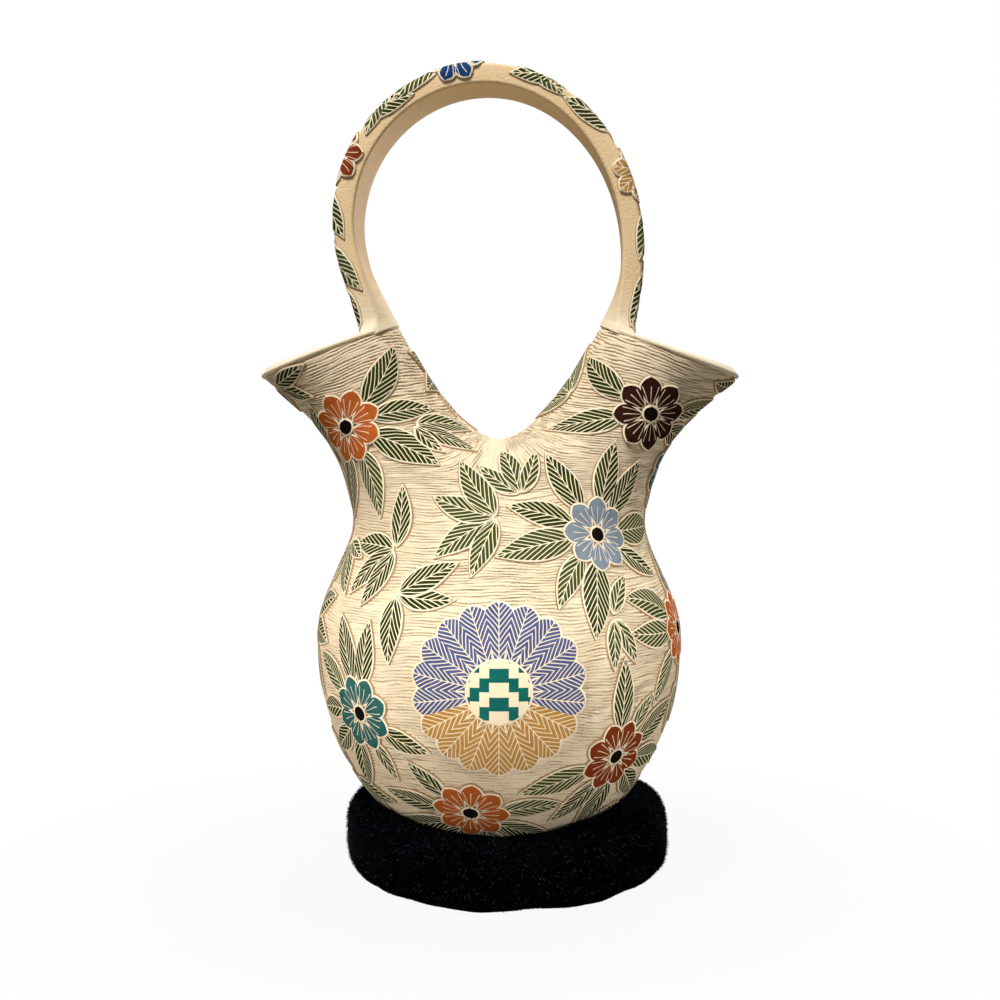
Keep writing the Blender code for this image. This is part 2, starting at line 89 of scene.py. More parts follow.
# %% Sizes
POT_LIFT = 10.4 * MM
BELLY_RADIUS = 82.6 * MM
BELLY_RISE = 94.0 * MM
NECK_RISE = 59.6 * MM
NECK_HALF_WIDTH = 66.5 * MM
NECK_HALF_DEPTH = 62.0 * MM
BELLY_FULLNESS = 1.25
WALL = 6.0 * MM
BELLY_LEVEL = POT_LIFT + BELLY_RISE
NECK_LEVEL = BELLY_LEVEL + NECK_RISE
SHOULDER_JOINT = POT_LIFT + 128.6 * MM
SPLIT_LEVEL = NECK_LEVEL + 19.0 * MM
SPLIT_HALF_WIDTH = 70.5 * MM
SPLIT_HALF_DEPTH = 50.0 * MM
SPLIT_SQUARENESS = 2.4
SADDLE_LEVEL = NECK_LEVEL + 36.0 * MM
SADDLE_SWEEP = 1.75
FLARE_SWEEP = 1.5
SPOUT_WAIST = 29.5 * MM
SPOUT_FLARE = 3.0
MOUTH_RADIUS = 33.5 * MM
MOUTH_REACH = 78.5 * MM
MOUTH_LEVEL = NECK_LEVEL + 76.8 * MM
MOUTH_TILT = math.radians(21.8)
print("mouths at", round(MOUTH_LEVEL / MM, 1), "mm, saddle at", round(SADDLE_LEVEL / MM, 1), "mm")

# %% [markdown]
# ## The skin of the pot
# A potter closes the shoulder over and pulls two spouts out of it, so the surface branches like a
# pair of trousers. Tubes joined by booleans would leave a crease there. A subdivision cage doesn't:
# rings of eight points climb the belly, the top ring is parted by an arch over the saddle, and each
# half grows into a spout. A subdivided cage shrinks away from its points, so at the end it is pushed
# out until the smooth skin runs through them.

# %% Outline of the pot
SIDES = 8
MOUTH_SIDE, MOUTH_DROP = MOUTH_RADIUS * math.cos(MOUTH_TILT), MOUTH_RADIUS * math.sin(MOUTH_TILT)


def turns(count):
    """Angles that part a full turn evenly."""
    return [2 * math.pi * i / count for i in range(count)]


SIDE_ANGLES = [angle - math.pi / 2 for angle in turns(SIDES)]


def pot_radius(level):
    """Outer radius of the pot at a level between belly and neck."""
    climb = ((level - BELLY_LEVEL) / NECK_RISE) ** BELLY_FULLNESS
    return NECK_HALF_WIDTH + (BELLY_RADIUS - NECK_HALF_WIDTH) * (1 + math.cos(math.pi * climb)) / 2


def signed_power(value, power):
    return math.copysign(abs(value) ** power, value)


def ring_points(half_width, half_depth, level, squareness=2.0):
    power = 2 / squareness
    return [Vector((half_width * signed_power(math.cos(a), power),
                    half_depth * signed_power(math.sin(a), power), level)) for a in SIDE_ANGLES]


def inner_edge(share):
    """From the saddle up the side of the right spout that faces the handle."""
    reach, top = MOUTH_REACH - MOUTH_SIDE, MOUTH_LEVEL + MOUTH_DROP
    return Vector((reach * share, 0, SADDLE_LEVEL + (top - SADDLE_LEVEL) * share ** SADDLE_SWEEP))


def outer_edge(share):
    """From the split up the far side of the right spout."""
    reach, top = MOUTH_REACH + MOUTH_SIDE, MOUTH_LEVEL - MOUTH_DROP
    across = SPLIT_HALF_WIDTH + (reach - SPLIT_HALF_WIDTH) * share ** FLARE_SWEEP
    return Vector((across, 0, SPLIT_LEVEL + (top - SPLIT_LEVEL) * share))


def spout_points(share):
    inside, outside = inner_edge(share), outer_edge(share)
    half_depth = SPOUT_WAIST + (SPLIT_HALF_DEPTH - SPOUT_WAIST) * (1 - share) ** SPOUT_FLARE
    half_depth += (MOUTH_RADIUS - SPOUT_WAIST) * share ** SPOUT_FLARE
    return [(inside + outside) / 2 + (outside - inside) / 2 * math.cos(a)
            + Vector((0, half_depth * math.sin(a), 0)) for a in SIDE_ANGLES]


print("neck radius", round(pot_radius(NECK_LEVEL) / MM, 1), "mm")

# %% Cage of the skin
BELLY, SHOULDER, RIGHT, LEFT = range(4)
FOOT_ANGLES = (4, 16, 28, 40, 52, 64, 77, 90)
SPOUT_LOOPS = 3
DRAW_PASSES = 16
cage = bmesh.new()
cage_map = cage.loops.layers.uv.new("lay")


def band(low, high, course, region):
    """Join two loops of cage points and note each corner's place round and up the pot."""
    for i in range(SIDES):
        j = (i + 1) % SIDES
        face = cage.faces.new((low[i], low[j], high[j], high[i]))
        face.material_index = region
        corners = ((i, course), (i + 1, course), (i + 1, course + 1), (i, course + 1))
        for loop, corner in zip(face.loops, corners):
            loop[cage_map].uv = corner


def smooth_point(vert):
    """Where subdivision takes a cage point on the smooth surface."""
    around = [edge.other_vert(vert) for edge in vert.link_edges]
    if vert.is_boundary:
        ends = [edge.other_vert(vert).co for edge in vert.link_edges if edge.is_boundary]
        return (ends[0] + 4 * vert.co + ends[1]) / 6
    count = len(around)
    total = vert.co * count * count
    for other in around:
        total = total + 4 * other.co
    for face in vert.link_faces:
        total = total + next(v.co for v in face.verts if v != vert and v not in around)
    return total / (count * (count + 5))


stations = []
for angle in FOOT_ANGLES:
    radius = BELLY_RADIUS * math.sin(math.radians(angle))
    level = BELLY_LEVEL - BELLY_RISE * math.cos(math.radians(angle))
    stations.append(ring_points(radius, radius, level))
for level in ((BELLY_LEVEL + SHOULDER_JOINT) / 2, SHOULDER_JOINT):
    stations.append(ring_points(pot_radius(level), pot_radius(level), level))
belly_courses = len(stations) - 1
between = (SHOULDER_JOINT + NECK_LEVEL) / 2
between_depth = (pot_radius(SHOULDER_JOINT) + NECK_HALF_DEPTH) / 2
stations.append(ring_points(pot_radius(between), between_depth, between))
stations.append(ring_points(NECK_HALF_WIDTH, NECK_HALF_DEPTH, NECK_LEVEL))
stations.append(ring_points(SPLIT_HALF_WIDTH, SPLIT_HALF_DEPTH, SPLIT_LEVEL, SPLIT_SQUARENESS))
rings = [[cage.verts.new(point) for point in station] for station in stations]
for course, (low, high) in enumerate(zip(rings, rings[1:])):
    band(low, high, course, BELLY if course < belly_courses else SHOULDER)
split, half = rings[-1], SIDES // 2
arch = [cage.verts.new((0, SPLIT_HALF_DEPTH * math.cos(a),
                        SPLIT_LEVEL + (SADDLE_LEVEL - SPLIT_LEVEL) * math.sin(a)))
        for a in [math.pi * i / half for i in range(1, half)]]
for side, region, low in ((1, RIGHT, split[:half + 1] + arch),
                          (-1, LEFT, split[half:] + split[:1] + arch[::-1])):
    for k in range(SPOUT_LOOPS):
        loop = spout_points((k + 1) / SPOUT_LOOPS)
        high = [cage.verts.new((side * p.x, side * p.y, p.z)) for p in loop]
        band(low, high, len(rings) - 1 + k, region)
        low = high
targets = {vert: vert.co.copy() for vert in cage.verts}
for _ in range(DRAW_PASSES):
    steps = {vert: targets[vert] - smooth_point(vert) for vert in cage.verts}
    for vert, step in steps.items():
        vert.co += step
print("cage:", len(cage.verts), "points,", len(cage.faces), "faces")

# %% [markdown]
# The subdivided skin is read back as four grids, one for each part of the pot, with rows that climb
# and columns that run round. Grids make the next steps easy: carving is a number for each point, and
# the inside of the wall is the same grid, moved inwards.

# %% Read the skin as grids
FINENESS = 5
PER_SIDE = 2 ** FINENESS
skin_mesh = bpy.data.meshes.new("skin")
cage.to_mesh(skin_mesh)
cage.free()
skin = put("skin", skin_mesh)
smoothing = skin.modifiers.new("smooth", "SUBSURF")
smoothing.levels = FINENESS
smoothing.uv_smooth = "NONE"
depsgraph = bpy.context.evaluated_depsgraph_get()
fine = skin.evaluated_get(depsgraph).to_mesh()
skin_tree = BVHTree.FromObject(skin, depsgraph)


def read(items, key, width, kind=float):
    """One property of all the items of a mesh, as rows of an array."""
    values = np.empty(len(items) * width, kind)
    items.foreach_get(key, values)
    return values.reshape(-1, width)


corner_map = np.rint(read(fine.uv_layers[0].data, "uv", 2) * PER_SIDE).astype(int)
corner_vert = read(fine.loops, "vertex_index", 1, int)[:, 0]
corner_region = np.repeat(read(fine.polygons, "material_index", 1, int)[:, 0], 4)
places = read(fine.vertices, "co", 3)
facing = read(fine.vertex_normals, "vector", 3)


def read_grid(region):
    """Points and normals of one part, every second column, with a row put between each two."""
    mine = corner_region == region
    up = corner_map[mine, 1]
    round_ = corner_map[mine, 0] % (SIDES * PER_SIDE)
    index = np.empty((up.max() - up.min() + 1, SIDES * PER_SIDE), int)
    index[up - up.min(), round_] = corner_vert[mine]
    grids = []
    for values in (places, facing):
        rows = values[index[:, ::2]]
        dense = np.empty((2 * len(rows) - 1,) + rows.shape[1:])
        dense[::2] = rows
        dense[1::2] = (rows[:-1] + rows[1:]) / 2
        grids.append(dense)
    return grids


grids = {region: read_grid(region) for region in (BELLY, SHOULDER, RIGHT, LEFT)}
bpy.data.objects.remove(skin)
print("grids:", {region: grid[0].shape[:2] for region, grid in grids.items()})

# %% [markdown]
# ## The carved ground
# The carver cuts the ground back with a gouge, in rows of short, wavy cuts, and leaves the drawing
# standing. A bump texture alone would go flat at the pot's outline, so the cuts are real relief: each
# point of the grid sinks by the depth of the ground, and more where a cut passes. `course` is the
# length climbed up the wall, so cuts follow the spouts round too.

# %% Carve the ground
GROUND_DEPTH = 0.1 * MM
CUT_SPACING = 1.35 * MM
CUT_LENGTH = 7 * MM
CUT_WIDTH_SHARE = 0.3
CUT_DEPTHS = {BELLY: 0.7 * MM, SHOULDER: 0.6 * MM, RIGHT: 0.65 * MM, LEFT: 0.65 * MM}
SADDLE_CALM = 6 * MM
# How far cuts sway, in rows, and over what length.
BROAD_SWAY, BROAD_SIZE = 2.2, 30 * MM
FINE_SWAY, FINE_SIZE, FINE_RISE = 0.5, 8 * MM, 4 * MM
MEAN_FORCE, FORCE_SPREAD, LEAST_FORCE = 0.62, 1.3, 0.06
# Steps through the noise, so that no pattern repeats another.
SWAY_APART, ROW_APART = 7, 1.7


def clamp(value, low=0.0, high=1.0):
    return min(high, max(low, value))


def climb_of(points):
    steps = np.linalg.norm(np.diff(points, axis=0), axis=2).mean(axis=1)
    return np.concatenate(([0.0], np.cumsum(steps)))


courses = {BELLY: climb_of(grids[BELLY][0])}
courses[SHOULDER] = courses[BELLY][-1] + climb_of(grids[SHOULDER][0])
for region in (RIGHT, LEFT):
    courses[region] = courses[SHOULDER][-1] + climb_of(grids[region][0])


def stroke_at(place, course):
    """Which row of cuts passes a point, and how hard the gouge was pressed there."""
    x, y, _ = place
    sway = BROAD_SWAY * noise.noise((x / BROAD_SIZE, y / BROAD_SIZE, course / BROAD_SIZE))
    sway += FINE_SWAY * noise.noise((x / FINE_SIZE + SWAY_APART, y / FINE_SIZE, course / FINE_RISE))
    row = course / CUT_SPACING + sway
    pressed = noise.noise((x / CUT_LENGTH, y / CUT_LENGTH, math.floor(row) * ROW_APART))
    return row, clamp(MEAN_FORCE + FORCE_SPREAD * pressed, LEAST_FORCE)


def strokes_on(region):
    """Strokes over one part; they die out on the saddle, where those of both spouts would meet."""
    points = grids[region][0]
    found = np.array([[stroke_at(place, course) for place in row]
                      for row, course in zip(points, courses[region])])
    ends = [np.array((0, side * SPLIT_HALF_DEPTH, SPLIT_LEVEL)) for side in (-1, 1)]
    clear = np.minimum(*[np.linalg.norm(points - end, axis=2) for end in ends])
    if region in (RIGHT, LEFT):
        clear = np.minimum(clear, np.abs(points[..., 0]))
    found[..., 1] *= np.clip(clear / SADDLE_CALM, 0, 1) ** 2
    return found


def cut_of(found):
    """Depth of the cuts, from 0 to 1."""
    near = np.clip(1 - np.abs(found[..., 0] % 1 - 0.5) / CUT_WIDTH_SHARE, 0, 1)
    return near * near * (3 - 2 * near) * found[..., 1]


strokes = {region: strokes_on(region) for region in grids}
print("mean cut:", round(float(cut_of(strokes[BELLY]).mean()), 3))

# %% [markdown]
# ## Walls
# Each part of the pot is a closed wall: the carved outside, then the plain inside, six millimetres
# further in. A Solidify modifier could thicken the skin, but the moved grid leaves the mouth free for
# a lip of its own: thin and squarish, a touch proud, smooth, with one groove cut under it.

# %% Wall pieces
LIP_RISE = 1.7 * MM
LIP_BAND = 0.35 * MM
LIP_PROUD = 0.15 * MM
LIP_GROOVE = 0.5 * MM
LIP_SQUARE = 0.5
LIP_STEPS = 14
INSIDE_STRIDE = 8


def mesh_of(name, points, faces):
    mesh = bpy.data.meshes.new(name)
    mesh.from_pydata(points, [], faces)
    return mesh


def tube(name, rows, ring=False):
    """Piece of closed rows of points, ended by caps, or by its own first row when it is a ring."""
    count, around = rows.shape[:2]
    row = np.arange(count if ring else count - 1)[:, None]
    column = np.arange(around)[None, :]
    next_row, next_column = (row + 1) % count, (column + 1) % around
    corners = (row * around + column, row * around + next_column,
               next_row * around + next_column, next_row * around + column)
    faces = np.stack(corners, axis=-1).reshape(-1, 4).tolist()
    if not ring:
        faces.append(list(range(around))[::-1])
        faces.append([(count - 1) * around + c for c in range(around)])
    mesh = mesh_of(name, rows.reshape(-1, 3).tolist(), faces)
    layout = np.zeros((len(mesh.loops), 2))
    spots = np.stack(np.broadcast_arrays(column, row), axis=-1)[:, :, None]
    spots = (spots + [(0, 0), (1, 0), (1, 1), (0, 1)]).reshape(-1, 2)
    layout[:len(spots)] = spots / (around, count)
    mesh.uv_layers.new(name="OFBake").data.foreach_set("uv", layout.ravel())
    mesh.shade_smooth()
    return put(name, mesh)


def note(piece, name, values):
    """Keep one number for each point of a piece, for its material to read."""
    piece.data.attributes.new(name, "FLOAT", "POINT").data.foreach_set("value", np.ravel(values))


def wall_piece(name, region, ring=True):
    points, normals = grids[region]
    stroke_rows, force = np.moveaxis(strokes[region], -1, 0)
    sunk = GROUND_DEPTH + CUT_DEPTHS[region] * cut_of(strokes[region])
    carved = np.ones(points.shape[:2])
    rows = len(points)
    lip = np.empty((0,) + points.shape[1:])
    if region in (RIGHT, LEFT):
        below_mouth = courses[region][-1] - courses[region]
        rows = int(np.argmax(below_mouth < LIP_RISE))
        carved = carved * (below_mouth > LIP_RISE + LIP_BAND)[:, None]
        from_groove = (below_mouth - LIP_RISE - LIP_BAND) / LIP_GROOVE - 1
        sunk += CUT_DEPTHS[region] * np.exp(-from_groove ** 2)[:, None]
        upward = points[rows] - points[rows - 4]
        upward /= np.linalg.norm(upward, axis=1)[:, None]
        lip = []
        for a in np.linspace(0, math.pi, LIP_STEPS + 2)[1:-1]:
            rise = LIP_RISE * math.sin(a) ** LIP_SQUARE
            shift = WALL / 2 * (signed_power(math.cos(a), LIP_SQUARE) - 1) + LIP_PROUD
            lip.append(points[rows - 1] + upward * rise + normals[rows - 1] * shift)
    height = LIP_PROUD * (1 - carved) - sunk * carved
    outside = points[:rows] + normals[:rows] * height[:rows, :, None]
    picked = list(range(rows - 1, -1, -INSIDE_STRIDE))
    if picked[-1]:
        picked.append(0)
    inside = points[picked] - normals[picked] * WALL
    piece = tube(name, np.concatenate((outside, lip, inside)), ring)
    plain = np.zeros((len(lip) + len(inside), points.shape[1]))
    for key, values in (("row", stroke_rows), ("force", force * carved), ("carved", carved)):
        note(piece, key, np.concatenate((values[:rows], plain)))
    return piece


belly = wall_piece("belly", BELLY, ring=False)
shoulder = wall_piece("shoulder_wall", SHOULDER)
right_spout = wall_piece("right_spout_wall", RIGHT)
left_spout = wall_piece("left_spout_wall", LEFT)
for piece in (belly, shoulder, right_spout, left_spout):
    print(piece.name, len(piece.data.polygons), "faces")
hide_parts("base_bowl", "belly_wall")
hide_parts("shoulder")
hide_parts("right_spout", "right_lip")
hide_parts("left_spout", "left_lip")

# %% [markdown]
# ## Strap handle
# The handle is a flat strap of clay, bent to a horseshoe and luted onto the two rims while soft. A
# curve with a bevel would keep one section all along. Here the strap is lofted: its rounded section
# travels along a middle line, is bent round the rim at its ends and spreads into a fillet there.

# %% Line of the strap
STRAP_THICKNESS = 9.0 * MM
STRAP_DEPTH = 40.0 * MM
STRAP_EDGE = 1.4 * MM
CROWN = Vector((-6.0 * MM, 0, MOUTH_LEVEL + 122.5 * MM))
LEFT_BULGE = Vector((-68.8 * MM, 0, MOUTH_LEVEL + 57.0 * MM))
RIGHT_BULGE = Vector((60.6 * MM, 0, MOUTH_LEVEL + 43.0 * MM))
RIM_CUP = 6.0 * MM
LAP = 2.5 * MM
PROUD = 0.4 * MM
LAP_STEPS, LEG_STEPS, ARCH_STEPS = 6, 44, 60


def mouth_place(side):
    """Frame of a mouth: Z along its axis, X away from the pot."""
    turn = Matrix.Rotation(0.0 if side > 0 else math.pi, 4, "Z")
    tilt = Matrix.Rotation(MOUTH_TILT, 4, "Y")
    return turn @ Matrix.Translation((MOUTH_REACH, 0, MOUTH_LEVEL)) @ tilt


def half_line(side, bulge):
    """From inside the rim, along the way the spout's wall points, out to the bulge, then the arch."""
    rim_radius = MOUTH_RADIUS + PROUD - STRAP_THICKNESS / 2
    rim = mouth_place(side) @ Vector((-rim_radius, 0, 0))
    down = inner_edge(0.9) - inner_edge(1.0)
    down = Vector((side * down.x, 0, down.z)).normalized()
    pull = (bulge - rim).length / 3
    first, second = rim - down * pull, bulge - Vector((0, 0, pull))
    line = [rim + down * LAP * (1 - i / LAP_STEPS) for i in range(LAP_STEPS)]
    for i in range(LEG_STEPS):
        t, rest = i / LEG_STEPS, 1 - i / LEG_STEPS
        line.append(rim * rest ** 3 + first * 3 * rest * rest * t + second * 3 * rest * t * t
                    + bulge * t ** 3)
    for a in [math.pi / 2 * i / ARCH_STEPS for i in range(ARCH_STEPS)]:
        line.append(Vector((CROWN.x + (bulge.x - CROWN.x) * math.cos(a), 0,
                            bulge.z + (CROWN.z - bulge.z) * math.sin(a))))
    return line


strap_line = half_line(-1, LEFT_BULGE) + [CROWN] + half_line(1, RIGHT_BULGE)[::-1]
print("strap line:", len(strap_line), "points")

# %% Loft the strap
FILLET_RISE = 6.0 * MM
FILLET_SPREAD = 2.5 * MM
CORNER_STEPS, FACE_STEPS = 6, 10


def strap_section():
    """Rounded rectangle as (across the thickness, depth) pairs, with points across its broad faces."""
    flat, deep = STRAP_DEPTH / 2 - STRAP_EDGE, STRAP_THICKNESS / 2 - STRAP_EDGE
    points = []
    for quarter in range(4):
        middle = (quarter + 0.5) * math.pi / 2
        centre_x = math.copysign(deep, math.cos(middle))
        centre_y = math.copysign(flat, math.sin(middle))
        for i in range(CORNER_STEPS + 1):
            a = (quarter + i / CORNER_STEPS) * math.pi / 2
            points.append((centre_x + STRAP_EDGE * math.cos(a), centre_y + STRAP_EDGE * math.sin(a)))
        if quarter % 2:
            points += [(points[-1][0], centre_y * (1 - 2 * k / FACE_STEPS))
                       for k in range(1, FACE_STEPS)]
    return points


def strap_rows():
    section = strap_section()
    last = len(strap_line) - 1
    rows = []
    for i, point in enumerate(strap_line):
        along = (strap_line[min(i + 1, last)] - strap_line[max(i - 1, 0)]).normalized()
        outward = Vector((-along.z, 0, along.x))
        left = i < last / 2
        bulge = LEFT_BULGE if left else RIGHT_BULGE
        rim = mouth_place(-1 if left else 1)
        foot = rim @ Vector((-MOUTH_RADIUS, 0, 0))
        near = clamp((bulge.z - point.z) / (bulge.z - foot.z))
        above = max(0.0, (rim.inverted() @ point).z)
        spread = max(0.0, 1 - above / FILLET_RISE) ** 2
        row = []
        for across, depth in section:
            depth *= 1 + spread * FILLET_SPREAD / (STRAP_DEPTH / 2)
            bend = RIM_CUP * near * near * (2 * depth / STRAP_DEPTH) ** 2
            row.append(point + outward * (across + bend) + Vector((0, depth, 0)))
        rows.append(row)
    return np.array(rows)


handle = tube("strap_handle", strap_rows()[:, ::-1])
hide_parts("handle")
print("handle:", len(handle.data.polygons), "faces")

# %% [markdown]
# ## Clay
# Low-fired cream earthenware, not glazed: matt and a little chalky. The strap was rubbed with a stone
# until it was smooth and a shade deeper, and is paler at its roots, where slip was wiped over the
# joint. In the cuts the colour is darkened to a brown: partly dust that sits there, partly painted
# shade where the cuts fall into shadow. One recipe serves pot and strap: it reads the strokes noted
# on each point, so colour and relief agree.

# %% Helpers for finishes
def linear(code):
    """Turn an sRGB hex colour into linear RGBA."""
    parts = [int(code[i:i + 2], 16) / 255 for i in (1, 3, 5)]
    return tuple(c / 12.92 if c <= 0.04045 else ((c + 0.055) / 1.055) ** 2.4 for c in parts) + (1.0,)


def feed(tree, node, inputs):
    """Set a node's inputs, each to a value, a hex colour, a socket or a node's first output."""
    for key, value in inputs.items():
        if isinstance(value, str):
            value = linear(value)
        if isinstance(value, bpy.types.Node):
            value = value.outputs[0]
        if isinstance(value, bpy.types.NodeSocket):
            tree.links.new(value, node.inputs[key])
        else:
            node.inputs[key].default_value = value


def add(tree, kind, inputs={}, **settings):
    made = tree.nodes.new("ShaderNode" + kind)
    for key, value in settings.items():
        setattr(made, key, value)
    feed(tree, made, inputs)
    return made


def calc(tree, operation, *values):
    return add(tree, "Math", dict(enumerate(values)), operation=operation)


def blend(tree, share, first, second):
    return add(tree, "MixRGB", {0: share, 1: first, 2: second})


def mottle(tree, size, detail):
    """Cloudy noise over the object."""
    place = add(tree, "TexCoord").outputs["Object"]
    return add(tree, "TexNoise", {"Vector": place, "Scale": 1 / size, "Detail": detail})


def finish(name, inputs):
    """A material and its Principled shader, which has no gleam unless its inputs say so."""
    material = bpy.data.materials.new(name)
    material.use_nodes = True
    tree = material.node_tree
    shader = tree.nodes["Principled BSDF"]
    feed(tree, shader, {"IOR": 1.5, "Specular IOR Level": 0.0, **inputs})
    return material, tree, shader


print("white is", linear("#FFFFFF"))

# %% Clay finish
CLAY_ROUGHNESS = 0.85
CLOUD_SIZE, WOBBLE_SIZE, GRIT_SIZE = 22 * MM, 1.6 * MM, 0.9 * MM
CUT_WOBBLE = 0.7  # in rows of cuts
# How far the cuts are darkened towards brown: some dust, and mostly painted shade.
CUT_SHADE = 0.62
CUT_DENT = -2.0  # against grit of height 1
DENT_HEIGHT = 0.32 * MM
ROOT_TOP, ROOT_END = MOUTH_LEVEL + 8 * MM, MOUTH_LEVEL + 32 * MM


def earthenware(name, dark_smooth, light_smooth):
    material, tree, shader = finish(name, {"Roughness": CLAY_ROUGHNESS, "Specular IOR Level": 0.12})
    row, force, carved = [add(tree, "Attribute", attribute_name=key).outputs["Fac"]
                          for key in ("row", "force", "carved")]
    clouds = mottle(tree, CLOUD_SIZE, 4)
    smooth = blend(tree, clouds, dark_smooth, light_smooth)
    ground = blend(tree, clouds, "#E9D6B6", "#F3E3C8")
    height = add(tree, "SeparateXYZ", {0: add(tree, "TexCoord").outputs["Object"]}).outputs[2]
    rubbed = add(tree, "MapRange", {0: height, 1: ROOT_TOP, 2: ROOT_END})
    smooth = blend(tree, rubbed, "#F3E5CA", smooth)
    tone = blend(tree, carved, smooth, ground)
    row = calc(tree, "MULTIPLY_ADD", mottle(tree, WOBBLE_SIZE, 2), CUT_WOBBLE, row)
    to_middle = (("SUBTRACT", CUT_WOBBLE / 2), ("FRACT", 0), ("SUBTRACT", 0.5), ("ABSOLUTE", 0))
    for operation, value in to_middle:
        row = calc(tree, operation, row, value)
    near = add(tree, "MapRange", {0: row, 2: CUT_WIDTH_SHARE, 3: 1.0, 4: 0.0},
               interpolation_type="SMOOTHSTEP")
    cut = calc(tree, "MULTIPLY", near, force)
    # Painted shade, with a little dust: the colour turns brown where a cut passes.
    cut_dust_and_shade = blend(tree, calc(tree, "MULTIPLY", cut, CUT_SHADE), tone, "#A47C50")
    dent = calc(tree, "MULTIPLY_ADD", cut, CUT_DENT, mottle(tree, GRIT_SIZE, 3))
    bump = add(tree, "Bump", {"Height": dent, "Strength": 1.0, "Distance": DENT_HEIGHT})
    feed(tree, shader, {"Base Color": cut_dust_and_shade, "Normal": bump})
    return material


clay = earthenware("cream_earthenware", "#EEDFC2", "#F6EAD2")
burnished = earthenware("burnished_earthenware", "#E3C59A", "#EED3AA")
# Raw clay that a knife has cut, dull and brown, and darkened further as painted shade: it draws a
# fine dark line round each raised shape, where a shadow would lie.
cut_clay_and_shade = finish("cut_earthenware_and_shade", {"Roughness": CLAY_ROUGHNESS, "Base Color": "#A88B68"})[0]
pot_pieces = (belly, shoulder, right_spout, left_spout, handle)
for piece in pot_pieces:
    piece.data.materials.append(burnished if piece == handle else clay)
    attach(piece, "vase")
print("clay on", len(pot_pieces), "pieces")

# %% [markdown]
# ## Slip-painted relief
# The drawing stands proud of the ground: leaves, rosettes and feathers painted in coloured slip, with
# bare cream outlines and cut sides. A texture could draw them, but their edges catch the light, so
# each one is a thin closed patch of clay. To lay it on a curved wall, a point walks over the skin in
# short strides: along the patch's middle line, then out to both sides and down into the ground.

# %% Walking on the skin
STRIDE = 0.8 * MM
EYE_AWAY = 300 * MM


def flat(ahead, normal):
    return (ahead - normal * ahead.dot(normal)).normalized()


def turned(ahead, normal, degrees):
    return Matrix.Rotation(math.radians(degrees), 3, normal) @ ahead


def stride(tree, start, length, bend=0.0):
    """Walk over a surface with the heading kept flat on it, then turn by some degrees."""
    place, normal, ahead = start
    count = max(1, math.ceil(length / STRIDE))
    for _ in range(count):
        place, normal = tree.find_nearest(place + ahead * (length / count))[:2]
        ahead = flat(ahead, normal)
    return place, normal, turned(ahead, normal, bend)


def off(start, degrees, distance, tree=skin_tree):
    """A start turned from another one's heading and moved along."""
    place, normal, ahead = start
    return stride(tree, (place, normal, turned(ahead, normal, degrees)), distance)


def heading_up(place, normal):
    return place, normal, flat(Vector((0, 0, 1)), normal)


def seat(turn, across, level):
    """A start on the pot, seen from a turn round it, at a place across and up in mm; it heads up."""
    angle = math.radians(turn)
    outward = Vector((math.sin(angle), -math.cos(angle), 0))
    sideways = Vector((math.cos(angle), math.sin(angle), 0))
    eye = outward * EYE_AWAY + sideways * across * MM + Vector((0, 0, level * MM))
    return heading_up(*skin_tree.ray_cast(eye, -outward)[:2])


print("front of the belly:", seat(0, 0, BELLY_LEVEL / MM)[0])

# %% [markdown]
# A patch has nine columns: up a slope, over the bare outline and the painted crown, and down again. A
# shape gives its half width along the way, from 0 to 1. Its place is noted as taken, in cells, so that
# later patches can keep clear of it.

# %% Laying a patch
RELIEF_RISE = 0.7 * MM
CROWN_RISE = 0.12 * MM
SLOPE = 0.9 * MM
SINK = 1.0 * MM
OUTLINE = 0.8 * MM
SLIVER = 0.06 * MM
COLUMNS = 9
CELL = 20 * MM
BARE, EDGE, PAINT = range(3)
relief = {}
taken = {}


def leaf(share):
    return math.sin(math.pi * share ** 0.78) ** 0.9


def petal(share):
    return math.sin(math.pi * share ** 1.35) ** 0.62


def feather(share):
    return min(1.0, 0.35 + 1.1 * share) * clamp((1 - share) / 0.16) ** 0.5


def disc(share):
    return math.sqrt(max(0.0, 1 - (2 * share - 1) ** 2))


def cell_of(place):
    return tuple(int(c // CELL) for c in place)


def arm_of(tree, start, side, inner, half, lift):
    """Points from a patch's middle out to one side, with how far across each one lies."""
    spot, up, ahead = start
    start, reached, arm = (spot, up, ahead.cross(up) * side), 0.0, []
    for goal, height in ((inner / 2, lift + CROWN_RISE), (inner, lift + CROWN_RISE / 2), (half, lift),
                         (half + SLOPE, -SINK)):
        start = stride(tree, start, goal - reached)
        reached = goal
        arm.append((start[0] + start[1] * height, side * goal))
    return arm


def lay_patch(group, slip, tree, start, length, width, shape, bend=0.0, lift=0.0, rows=18, owner=None):
    """Lay one closed patch on a surface, from a start of place, normal and heading."""
    lift += RELIEF_RISE
    patch = []
    shares = [(1 - math.cos(math.pi * i / rows)) / 2 for i in range(rows + 1)]
    for i, share in enumerate(shares):
        place, normal = start[:2]
        half = max(2 * SLIVER, width / 2 * shape(share))
        painted = clamp((share * length - OUTLINE) / (length - 2 * OUTLINE))
        inner = max(SLIVER, min(half - SLIVER, (width / 2 - OUTLINE) * shape(painted)))
        left, right = [arm_of(tree, start, side, inner, half, lift) for side in (-1, 1)]
        row = left[::-1] + [(place + normal * (lift + CROWN_RISE), 0.0)] + right
        patch += [(point, (share * length, across), (column / (COLUMNS - 1), share))
                  for column, (point, across) in enumerate(row)]
        taken.setdefault(cell_of(place), []).append((place, half, owner))
        if i < rows:
            gone = shares[i + 1] - share
            start = stride(tree, start, gone * length, bend * gone)
    relief.setdefault(group, []).append((slip, patch))


print("half-way, a leaf has", round(leaf(0.5), 2), "of its width")

# %% [markdown]
# The design is a general one of its kind: a wheel of feathers round a stepped medallion, rosettes of
# eight petals, and sprays of ribbed leaves. Leaves are tried at random places and kept where they find
# free ground, as a painter fills a field by eye.

